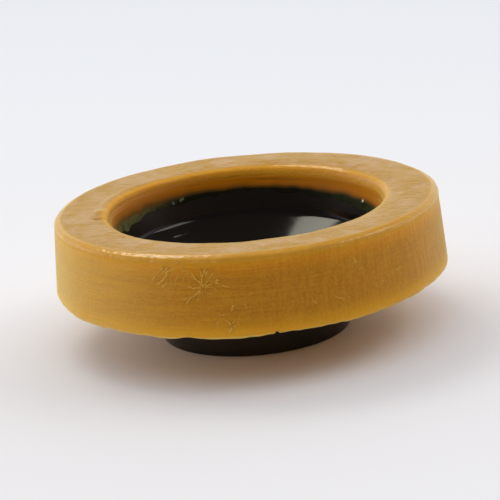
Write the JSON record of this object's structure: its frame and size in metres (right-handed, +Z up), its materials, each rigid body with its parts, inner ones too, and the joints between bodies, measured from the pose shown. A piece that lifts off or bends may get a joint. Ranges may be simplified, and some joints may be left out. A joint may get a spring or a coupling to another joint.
{
  "type": "toilet pan seal",
  "caption": "Ring of soft honey-coloured wax moulded round a black plastic funnel horn, which seals a floor-standing toilet pan to its drain pipe.",
  "frame": {"origin": "centre of the horn's foot, the lowest point of the part, which stands on this rim", "axes": "+Z up along the ring's axis, from the drain pipe to the toilet pan; X and Y lie in the plane of the ring"},
  "size_m": [0.1396, 0.1396, 0.047],
  "materials": {
    "wax": "satin poured wax, slightly translucent",
    "horn_plastic": "glossy moulded black polyethylene"
  },
  "bodies": {
    "root": {"wax_ring": "wax", "horn": "horn_plastic"}
  },
  "joints": []
}
